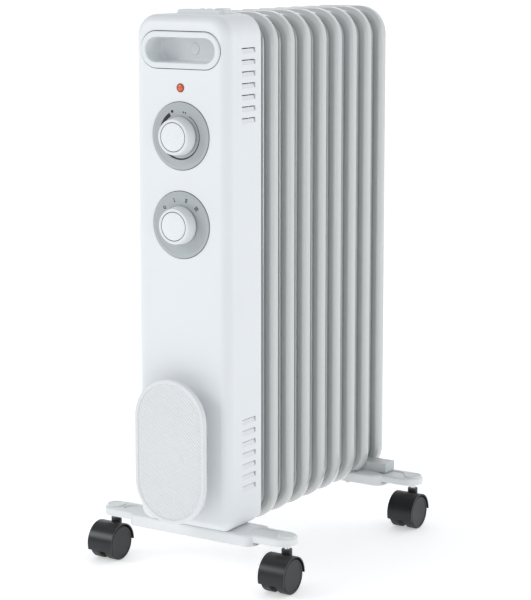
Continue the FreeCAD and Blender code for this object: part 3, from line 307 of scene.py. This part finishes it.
def finish(name, colour, roughness, metallic=0.0, grain=1.0, depth=0.02, wander=0.02, coat=0.0,
           stretch=(1, 1, 1), specks=None, gloss=0.5):
    """A material: its colour wanders slightly, its roughness varies, and its surface has a grain.

    grain is the grain's size and depth its height, both in millimetres.
    """
    material = bpy.data.materials.new(name)
    material.use_nodes = True
    tree = material.node_tree
    shader = tree.nodes["Principled BSDF"]
    shader.inputs["Metallic"].default_value = metallic
    shader.inputs["Coat Weight"].default_value = coat
    shader.inputs["Specular IOR Level"].default_value = gloss
    shader.inputs["Coat Roughness"].default_value = 0.12

    clouds = noise(tree, 90, detail=1)
    mix = tree.nodes.new("ShaderNodeMix")
    mix.data_type = "RGBA"
    mix.inputs["A"].default_value = (*[channel * (1 - wander) for channel in colour], 1)
    mix.inputs["B"].default_value = (*colour, 1)
    link(tree, ranged(tree, clouds, 0, 1, 0.2, 0.8), mix.inputs["Factor"])
    colour_out = mix.outputs["Result"]
    if specks:
        spots = noise(tree, specks[0], detail=1)
        second = tree.nodes.new("ShaderNodeMix")
        second.data_type = "RGBA"
        second.inputs["B"].default_value = (*specks[1], 1)
        link(tree, colour_out, second.inputs["A"])
        link(tree, ranged(tree, spots, 0, 1, 0.6, 0.72), second.inputs["Factor"])
        colour_out = second.outputs["Result"]
    link(tree, colour_out, shader.inputs["Base Color"])

    wear = noise(tree, 25, detail=1, stretch=stretch)
    link(tree, ranged(tree, wear, roughness * 0.93, roughness * 1.07, 0.2, 0.8), shader.inputs["Roughness"])

    bump = tree.nodes.new("ShaderNodeBump")
    bump.inputs["Strength"].default_value = 1.0
    bump.inputs["Distance"].default_value = depth * MM
    link(tree, noise(tree, grain, detail=2, stretch=stretch), bump.inputs["Height"])
    link(tree, bump.outputs["Normal"], shader.inputs["Normal"])
    return material


FINISHES = {
    "fin_enamel": finish("fin_enamel", (0.57, 0.585, 0.585), 0.2, grain=3, depth=0.003, coat=1.0, gloss=1.0),
    "oil": finish("oil", (0.75, 0.58, 0.2), 0.1, grain=8, depth=0.01),
    "element_steel": finish("element_steel", (0.5, 0.5, 0.5), 0.35, metallic=1.0, grain=0.6),
    "housing_plastic": finish("housing_plastic", (0.83, 0.855, 0.87), 0.4, grain=0.7, depth=0.008),
    "handle_plastic": finish("handle_plastic", (0.80, 0.825, 0.84), 0.42, grain=0.7, depth=0.008),
    "lamp_rim": finish("lamp_rim", (0.30, 0.07, 0.04), 0.35, grain=0.5, depth=0.01),
    "lamp_lens": finish("lamp_lens", (0.75, 0.10, 0.025), 0.16, grain=0.8, depth=0.02, coat=0.6),
    "shield_steel": finish("shield_steel", (0.55, 0.56, 0.56), 0.42, metallic=0.9, grain=3),
    "control_plastic": finish("control_plastic", (0.05, 0.05, 0.055), 0.5, grain=0.8),
    "wire_insulation": finish("wire_insulation", (0.7, 0.68, 0.6), 0.6, grain=0.5),
    "black_rubber": finish("black_rubber", (0.02, 0.02, 0.022), 0.6, grain=0.5),
    "winder_plastic": finish("winder_plastic", (0.79, 0.80, 0.81), 0.42, grain=0.7, depth=0.008),
    "foot_plastic": finish("foot_plastic", (0.84, 0.86, 0.865), 0.42, grain=0.8, depth=0.01),
    "saddle_enamel": finish("saddle_enamel", (0.60, 0.62, 0.63), 0.35, grain=2, depth=0.01, coat=0.2),
    "zinc_steel": finish("zinc_steel", (0.62, 0.63, 0.62), 0.32, metallic=1.0, grain=0.5, depth=0.01),
    "chrome_steel": finish("chrome_steel", (0.75, 0.76, 0.78), 0.12, metallic=1.0, grain=2, depth=0.004),
    "dial_grey": finish("dial_grey", (0.45, 0.48, 0.495), 0.34, grain=0.5, depth=0.006, metallic=0.15),
    "knob_plastic": finish("knob_plastic", (0.80, 0.82, 0.83), 0.34, grain=0.7, depth=0.006),
    "knob_face": finish("knob_face", (0.84, 0.87, 0.88), 0.5, grain=0.35, depth=0.06,
                        specks=(0.7, (0.62, 0.66, 0.68))),
    "caster_plastic": finish("caster_plastic", (0.007, 0.0075, 0.009), 0.32, grain=0.6, depth=0.02),
    "wheel_plastic": finish("wheel_plastic", (0.010, 0.010, 0.011), 0.45, grain=0.6, depth=0.02),
    "dial_print": finish("dial_print", (0.012, 0.012, 0.014), 0.5, grain=0.4, depth=0.01),
}
NODE_SLOT = {part["node"]: part["material_slot"] for part in frame["record"]["subparts"]}
NODE_BODY = {}
for body_name, members in frame["record"]["behaviour"]["bodies"].items():
    for member in members:
        NODE_BODY[member] = body_name


def stand_in(node, mesh, name=None, sharp=32):
    """A piece that takes the place of one CAD node, on its body and in its finish."""
    slot = NODE_SLOT[node]
    return place_piece(name or f"{node}_looks", mesh, FINISHES[slot], NODE_BODY[node], [node], sharp)


def smooth_copy(node, sharp=30):
    """A stand-in made from the CAD node's own mesh, whose flat faces keep flat shading."""
    piece = stand_in(node, from_node(node), sharp=sharp)
    weighted = piece.modifiers.new("weighted_normals", "WEIGHTED_NORMAL")
    weighted.keep_sharp = True
    weighted.weight = 100
    return piece


def trim(name, mesh, node, finish_name=None, sharp=32):
    """A piece with no CAD node of its own, that rides with a CAD node and shares its finish."""
    slot = NODE_SLOT[node]
    look = FINISHES[finish_name or slot]
    return place_piece(name, mesh, look, NODE_BODY[node], (), sharp)


# Fins -----------------------------------------------------------------------------------------------

def fin_rings(y):
    """The rings of one fin: its channel's front, its sheet and rolled rim, then the channel's back."""
    sheet = FIN_SHEET
    fin = box_of(FIN_HALF_WIDTH, FIN_LOW, FIN_HIGH, FIN_CORNER)
    column = box_of(COLUMN_HALF_WIDTH, COLUMN_LOW, COLUMN_HIGH, COLUMN_HALF_WIDTH)
    parts = [
        (column, eased([(26, COLUMN_FRONT, 0), (0, COLUMN_FRONT, 5), (0, 0, 1.4), (-3, 0, 0)])),
        (fin, eased([
            (14.0, 0, 0), (12.9, 0, 0.7), (11.9, 1.2, 0.7), (10.3, 1.2, 0.7), (9.3, 0, 0.7), (8.5, 0, 0),
        ], 3)),
        (fin, eased([
            (8.2, 0, 0), (0, 0, 6), (0, FIN_DEPTH, 1.1), (2.2, FIN_DEPTH, 1.0), (2.2, 9.6, 0.6),
            (sheet, 9.2, 0.3), (sheet, sheet, 5.4), (8.2, sheet, 0),
        ])),
        (fin, eased([
            (8.5, sheet, 0), (9.3, sheet, 0.7), (10.3, 1.2 + sheet, 0.7), (11.9, 1.2 + sheet, 0.7),
            (12.9, sheet, 0.7), (14.0, sheet, 0),
        ], 3)),
        (column, eased([(-3, sheet, 0), (0, sheet, 1.4), (0, COLUMN_BACK, 5), (26, COLUMN_BACK, 0)])),
    ]
    rings = []
    for shape, profile in parts:
        for inset, level in profile:
            rings.append([facing_front(u, v, y + level) for u, v in outline(shape, inset, 14)])
    return rings


def build_fins():
    for number in range(1, FIN_COUNT + 1):
        y = FIRST_FIN_Y + FIN_PITCH * (number - 1)
        mesh = Build().loft(fin_rings(y)).mesh(f"fin_{number}")
        stand_in(f"fin_{number}", mesh)


def build_collars():
    """The flared tubes that join each oil channel to the next, above and below."""
    build = Build()
    for gap in range(FIN_COUNT - 1):
        start = FIRST_FIN_Y + FIN_PITCH * gap + COLUMN_BACK
        end = start + FIN_PITCH - (COLUMN_BACK - COLUMN_FRONT)
        for height in HUB_HEIGHTS:
            build.turned((0, height), eased([
                (18, start, 0), (25, start, 0.2), (COLLAR_RADIUS, start + 1.6, 1.5),
                (COLLAR_RADIUS, end - 1.6, 1.5), (25, end, 0.2), (18, end, 0),
            ], 4), closed=True)
    stand_in("joining_collars", build.mesh("joining_collars"))


# Control housing and its front -----------------------------------------------------------------------

def build_housing():
    smooth_copy("control_housing")
    blades = Build()
    for side in (-1, 1):
        outer = (HOUSING_HALF_WIDTH - 0.25) * side
        inner = (HOUSING_HALF_WIDTH - 1.7) * side
        for top in LOUVRE_TOPS:
            for step in range(LOUVRES_IN_A_GROUP):
                high = top - LOUVRE_PITCH * step
                low = high - LOUVRE_HEIGHT
                front = LOUVRE_FRONT - 0.2
                back = LOUVRE_BACK - 1.2
                ends = []
                for y in (front, back):
                    ends.append([(outer, y, low - 0.2), (inner, y, high - 1.3),
                                 (inner - 0.8 * side, y, high - 1.3), (inner - 0.8 * side, y, low - 0.2)])
                blades.bar(ends[0] + ends[1])
    trim("louvre_blades", blades.mesh("louvre_blades"), "control_housing", sharp=30)


def build_handle():
    z = HANDLE_HEIGHT
    half, high = HANDLE_HALF_LENGTH, HANDLE_HALF_HEIGHT
    face = -135.1
    seat = PANEL_Y + 1.2
    inside = eased([(20, face, 0), (7, face, 3), (7, PANEL_Y - 1.6, 1.6), (1.4, PANEL_Y - 1.6, 1.2),
                    (0.55, PANEL_Y - 0.5, 0.4), (0.55, seat, 0), (5.2, seat, 0), (5.2, face + 1.8, 2),
                    (20, face + 1.8, 0)], 8)
    bezel = Build().slab(box_of(half, z - high, z + high, high), inside, steps=20)
    stand_in("handle_insert", bezel.mesh("handle_insert"), sharp=30)
    # A dark ring at the bottom of the gap round the bezel: painted shade that stands in for the shadow in
    # that gap.
    seam_painted_shade = Build().slab(box_of(half + 0.2, z - high - 0.2, z + high + 0.2, high + 0.2), [
        (0, seat - 0.05), (0, seat - 0.35), (1.2, seat - 0.35), (1.2, seat - 0.05)], steps=20, closed=True)
    trim("handle_seam_painted_shade", seam_painted_shade.mesh("handle_seam_painted_shade"), "handle_insert", "dial_print")
    cap = Build().turned((0, z), eased([
        (0.01, face, 0), (6.5, face, 0), (6.5, face - 0.8, 0.4), (5.2, face - 0.8, 0.3),
        (4.8, face - 0.5, 0.3), (0.01, face - 0.5, 0),
    ]))
    stand_in("handle_cap", cap.mesh("handle_cap"))


def build_lamp():
    z = LAMP_HEIGHT
    radius = LENS_RADIUS
    rim = Build().turned((0, z), eased([
        (3.62, PANEL_Y + 2, 0), (3.62, PANEL_Y - 0.6, 0.2), (4.9, PANEL_Y - 0.6, 0.4),
        (4.9, PANEL_Y, 0), (4.3, PANEL_Y, 0), (4.3, PANEL_Y + 2, 0),
    ]), closed=True)
    stand_in("lamp_holder", rim.mesh("lamp_holder"))
    lens = Build().turned((0, z), [(radius, PANEL_Y + 8), (radius, PANEL_Y - 0.4)] + [
        (radius * math.cos(math.radians(angle)), PANEL_Y - 0.4 - 0.99 * math.sin(math.radians(angle)))
        for angle in range(10, 90, 10)
    ] + [(0.1, PANEL_Y - 1.39)], steps=48)
    stand_in("lamp_lens", lens.mesh("lamp_lens"))


def build_dials():
    """The sunk rings round the knobs, their printed marks, the knobs themselves, and dark rings of painted
    shade in the gaps round the rings and in the knobs' grooves.
    """
    front = PANEL_Y - 1.2
    for control, z in DIALS.items():
        ring = Build().turned((0, z), eased([
            (5, front + 2.4, 0), (36.9, front + 2.4, 0), (36.9, front + 0.1, 0.5), (33.0, front, 0.3),
            (32.6, front + 0.25, 0.2), (24, front + 0.6, 3), (5, front + 0.6, 0),
        ]), closed=True, steps=96)
        stand_in(f"{control}_dial_ring", ring.mesh(f"{control}_dial_ring"), sharp=28)
        back = PANEL_Y - 1.7
        face = back - KNOB_DEPTH
        knob = Build().turned((0, z), eased([
            (3.0, back, 0), (20.3, back, 0), (21, back - 0.7, 0.4), (19.4, face, 1.6),
            (16.2, face, 0.25), (16.2, face + 1, 0.1), (3.0, face + 1, 0),
        ]), closed=True, steps=96)
        stand_in(f"{control}_knob", knob.mesh(f"{control}_knob"), sharp=28)
        disc = Build().turned((0, z), eased([
            (0.05, face + 1, 0), (15.4, face + 1, 0), (15.4, face, 0.3), (0.05, face + 0.1, 0),
        ]), steps=96)
        stand_in(f"{control}_knob_disc", disc.mesh(f"{control}_knob_disc"), sharp=28)
        # Dark rings at the bottom of the gap round each dial ring and in each knob's groove: painted shade
        # that stands in for the shadow in these gaps.
        for name, inner, outer, level, part in (("seam_painted_shade", 36.95, 37.5, PANEL_Y + 0.6, "dial_ring"),
                                                ("groove_painted_shade", 15.45, 16.15, face + 0.5, "knob")):
            line = Build().turned((0, z), [(inner, level), (outer, level), (outer, level + 0.3),
                                           (inner, level + 0.3)], closed=True, steps=96)
            trim(f"{control}_{name}", line.mesh(f"{control}_{name}"), f"{control}_{part}", "dial_print")
    build_marks(front)


def dish_level(front, radius):
    """How far forward the dished ring's face lies at a radius."""
    return front + 0.1 + 0.5 * (36 - radius) / 12


def build_marks(front):
    """The printed marks: a swelling arc on the thermostat, and 0, I, II, III on the selector."""
    arc = Build()
    z0 = DIALS["thermostat"]
    rings = []
    steps = 90
    for step in range(steps + 1):
        share = step / steps
        angle = math.radians(90 - (28 + 302 * share))
        inner = 24.2
        outer = inner + 0.8 + 3.6 * share ** 2
        ring = []
        for radius, lift in ((inner, PRINT_BACK), (outer, PRINT_BACK), (outer, PRINT_FRONT),
                             (inner, PRINT_FRONT)):
            ring.append((radius * math.cos(angle), dish_level(front, radius) + lift,
                         z0 + radius * math.sin(angle)))
        rings.append(ring)
    arc.loft(rings)
    for turn, out, size in ((-22, 28.4, 1.7), (9, 26.4, 0.9), (15, 26.4, 0.9)):
        angle = math.radians(90 - turn)
        level = dish_level(front, out)
        arc.turned((out * math.cos(angle), z0 + out * math.sin(angle)), [
            (0.05, level + PRINT_BACK), (size, level + PRINT_BACK), (size, level + PRINT_FRONT),
            (0.05, level + PRINT_FRONT),
        ], steps=24)
    trim("thermostat_marks", arc.mesh("thermostat_marks"), "thermostat_dial_ring", "dial_print")

    marks = Build()
    z0 = DIALS["selector"]

    def stroke(angle, u0, u1, v0, v1):
        """A short bar at a mark: u runs across the mark, v outwards along its radius."""
        corners = []
        for lift in (PRINT_BACK, PRINT_FRONT):
            for u, v in ((u0, v0), (u1, v0), (u1, v1), (u0, v1)):
                turn = math.radians(angle)
                x = u * math.cos(turn) + v * math.sin(turn)
                z = -u * math.sin(turn) + v * math.cos(turn)
                corners.append((x, dish_level(front, v) + lift, z0 + z))
        marks.bar(corners)

    for angle, count in ((-18, 1), (15, 2), (47, 3)):
        width = 1.5 * count
        for index in range(count):
            middle = 1.5 * (index - (count - 1) / 2)
            stroke(angle, middle - 0.42, middle + 0.42, 26.0, 30.0)
        for low in (25.8, 29.5):
            stroke(angle, -width / 2, width / 2, low, low + 0.6)
    zero = []
    for step in range(25):
        turn = math.tau * step / 24
        zero.append((1.6 * math.cos(turn), 27.9 + 2.1 * math.sin(turn)))
    for (u0, v0), (u1, v1) in zip(zero, zero[1:]):
        turn = math.radians(-50)
        corners = []
        for lift in (PRINT_BACK, PRINT_FRONT):
            for u, v, grow in ((u0, v0, 1), (u1, v1, 1), (u1, v1, 0.52), (u0, v0, 0.52)):
                u, v = u * grow, 27.9 + (v - 27.9) * grow
                x = u * math.cos(turn) + v * math.sin(turn)
                z = -u * math.sin(turn) + v * math.cos(turn)
                corners.append((x, dish_level(front, v) + lift, z0 + z))
        marks.bar(corners)
    trim("selector_marks", marks.mesh("selector_marks"), "selector_dial_ring", "dial_print")


def build_winder():
    """The oval cord winder plate with fine slanting ribs on its face, and the hub behind it."""
    half, low, high = WINDER_HALF_WIDTH, WINDER_LOW, WINDER_HIGH
    front, back = WINDER_FRONT, WINDER_BACK
    plate = Build().slab(box_of(half, low, high, half), eased([
        (44, back - 2.6, 0), (4.6, back - 2.6, 0.6), (4.2, back, 0.4), (1.2, back, 0.5), (0, back - 1.5, 0.8),
        (0, front, 2.0), (4.4, front, 0.6), (4.9, front + 1.2, 0.3), (44, front + 1.2, 0),
    ]), steps=24)
    ridge = 0.65
    face = front + 1.2
    rib_half = 1.1
    pitch = 3.0
    inner = half - 5.1
    ends = (low + half, high - half)
    along = Vector((1, -1)).normalized()
    across = Vector((1, 1)).normalized()
    middle = Vector((0, (low + high) / 2))

    def inside(point):
        nearest = min(max(point.y, ends[0]), ends[1])
        return math.hypot(point.x, point.y - nearest) < inner

    count = int(100 / pitch)
    for number in range(-count, count + 1):
        start = middle + across * pitch * number
        hits = [t * 0.5 for t in range(-240, 241) if inside(start + along * t * 0.5)]
        if len(hits) < 6:
            continue
        corners = []
        for width, level in ((rib_half, face + 0.05), (0.3, face - ridge)):
            trim_ends = 0 if width == rib_half else 0.6
            for t, side in ((hits[0] + trim_ends, -1), (hits[-1] - trim_ends, -1),
                            (hits[-1] - trim_ends, 1), (hits[0] + trim_ends, 1)):
                point = start + along * t + across * width * side
                corners.append((point.x, level, point.y))
        plate.bar(corners)
    stand_in("cord_winder_plate", plate.mesh("cord_winder_plate"), sharp=24)
    smooth_copy("cord_winder_hub")


def build_top_pad():
    y, z = PAD_Y, HOUSING_TOP
    top = z + PAD_HEIGHT
    shape = (-PAD_HALF_WIDTH, PAD_HALF_WIDTH, y - PAD_HALF_DEPTH, y + PAD_HALF_DEPTH,
             PAD_CORNER, PAD_CORNER)
    pad = Build().slab(shape, eased([
        (9, z, 0), (0, z, 0), (0, top, 2.2), (9, top, 0),
    ]), facing_up)
    for rib in range(PAD_RIBS):
        left = PAD_FIRST_RIB_X + rib * PAD_RIB_PITCH
        sides = (left, left + PAD_RIB_WIDTH, y - PAD_RIB_HALF_DEPTH, y + PAD_RIB_HALF_DEPTH)
        pad.slab((*sides, 0.5, 0.5), eased([
            (0, z + 4.3, 0), (0, z + 6.0, 0.4), (0.6, z + 6.0, 0),
        ], 3), facing_up, steps=3)
    stand_in("top_pad", pad.mesh("top_pad"))
    caps = Build()
    for x, dy in PAD_CAPS:
        caps.turned((x, y + dy), eased([
            (0.05, z + 4.4, 0), (3.2, z + 4.4, 0), (3.2, z + 5.3, 0.4), (2.2, z + 5.3, 0.3),
            (1.9, z + 4.7, 0.2), (0.05, z + 4.7, 0),
        ]), facing_up, steps=40)
    stand_in("top_pad_caps", caps.mesh("top_pad_caps"))


# Feet and casters -----------------------------------------------------------------------------------

STEM_X = 116
FOOT_Y = {"front": -130.5, "back": 161.5}
CASTER_TRAIL = 11.5
WHEEL_RADIUS = 20


def build_feet():
    for foot in ("front_foot", "back_foot"):
        smooth_copy(foot)
    smooth_copy("back_saddle")
    caps = Build()
    for y in FOOT_Y.values():
        for side in (-1, 1):
            caps.turned((STEM_X * side, y), eased([
                (0.05, FOOT_TOP, 0), (10.5, FOOT_TOP, 0), (10.5, FOOT_TOP + 1.5, 0.7),
                (8.2, FOOT_TOP + 1.5, 0.4), (7.6, FOOT_TOP + 1.0, 0.3), (0.05, FOOT_TOP + 1.2, 0),
            ]), facing_up, steps=48)
    stand_in("stem_caps", caps.mesh("stem_caps"))
    smooth_copy("clamp_bow")
    smooth_copy("wing_nuts")
    smooth_copy("cord_gland")


def build_casters():
    for corner in ("front_left", "front_right", "back_left", "back_right"):
        end, side_name = corner.split("_")
        x = STEM_X * (-1 if side_name == "left" else 1)
        y = FOOT_Y[end] - CASTER_TRAIL
        smooth_copy(f"caster_frame_{corner}", sharp=35)
        for letter, way in (("a", -1), ("b", 1)):
            profile = eased([
                (3.05, 3.9, 0), (19.2, 3.9, 0), (20, 4.7, 0.5), (20, 14.6, 1.2), (18.6, 15.9, 0.8),
                (16.8, 15.9, 0.3), (16.2, 15.3, 0.4), (3.05, 15.3, 0),
            ])
            wheel = Build().turned((y, WHEEL_RADIUS), [(r, x + level * way) for r, level in profile],
                                   facing_side, closed=True, steps=96)
            stand_in(f"wheel_{corner}_{letter}", wheel.mesh(f"wheel_{corner}_{letter}"), sharp=28)
            plug = Build().turned((y, WHEEL_RADIUS), [
                (0.05, x + 13.95 * way), (3.0, x + 13.95 * way), (3.0, x + 15.3 * way),
                (0.05, x + 15.3 * way),
            ], facing_side, steps=32)
            trim(f"hub_plug_{corner}_{letter}", plug.mesh(f"hub_plug_{corner}_{letter}"),
                 f"wheel_{corner}_{letter}")
build_fins()
build_collars()
build_housing()
build_handle()
build_lamp()
build_dials()
build_winder()
build_top_pad()
build_feet()
build_casters()

for node, thing in frame["nodes"].items():
    if not thing.hide_render:
        thing.data.materials.clear()
        thing.data.materials.append(FINISHES[NODE_SLOT[node]])


# Floor, light and camera ----------------------------------------------------------------------------

def build_stage():
    """A pale floor that turns up into a backdrop far behind the heater."""
    rows = [(-6, 0), (6, 0)]
    for step in range(1, 13):
        angle = math.radians(90 * step / 12)
        rows.append((6 + 2 * math.sin(angle), 2 - 2 * math.cos(angle)))
    rows.append((8, 8))
    verts = [(x, y, z) for y, z in rows for x in (-9, 9)]
    faces = [(2 * row, 2 * row + 1, 2 * row + 3, 2 * row + 2) for row in range(len(rows) - 1)]
    mesh = bpy.data.meshes.new("floor")
    mesh.from_pydata(verts, [], faces)
    mesh.polygons.foreach_set("use_smooth", [True] * len(mesh.polygons))
    floor = bpy.data.objects.new("floor", mesh)
    floor_look = finish("floor_paper", (0.93, 0.93, 0.93), 0.7, grain=3, depth=0.01, wander=0.01)
    shader = floor_look.node_tree.nodes["Principled BSDF"]
    shader.inputs["Emission Color"].default_value = (1, 1, 1, 1)
    shader.inputs["Emission Strength"].default_value = 0.42
    mesh.materials.append(floor_look)
    bpy.context.scene.collection.objects.link(floor)


def area_light(name, place, target, size, watts, stretch=1.0, colour=(1, 1, 1)):
    data = bpy.data.lights.new(name, "AREA")
    data.shape = "ELLIPSE"
    data.size = size
    data.size_y = size * stretch
    data.energy = watts
    data.color = colour
    light = bpy.data.objects.new(name, data)
    light.location = place
    light.rotation_euler = (Vector(target) - Vector(place)).to_track_quat("-Z", "Y").to_euler()
    bpy.context.scene.collection.objects.link(light)


def build_light():
    world = bpy.data.worlds.new("studio")
    bpy.context.scene.world = world
    world.use_nodes = True
    background = world.node_tree.nodes["Background"]
    background.inputs["Color"].default_value = (0.94, 0.97, 1.0, 1)
    background.inputs["Strength"].default_value = 0.60
    area_light("key", (-1.9, -2.1, 1.6), (0, 0, 0.3), 1.4, 21)
    area_light("side", (2.2, 0.9, 1.0), (0, 0.05, 0.33), 0.8, 4, stretch=2.1)
    area_light("strip", (2.1, -1.3, 0.5), (0, 0, 0.3), 0.1, 3, stretch=14)


def build_camera():
    data = bpy.data.cameras.new("camera")
    data.lens = 119.5
    data.sensor_width = 36
    data.shift_y = -0.1083
    camera = bpy.data.objects.new("camera", data)
    camera.location = (1.2254, -1.9272, 0.7099)
    camera.rotation_euler = (math.radians(90 - 8.5), 0, math.radians(32.33))
    bpy.context.scene.collection.objects.link(camera)
    bpy.context.scene.camera = camera


build_stage()
build_light()
build_camera()
bpy.context.scene.view_settings.view_transform = "Standard"
bpy.context.scene.view_settings.look = "None"
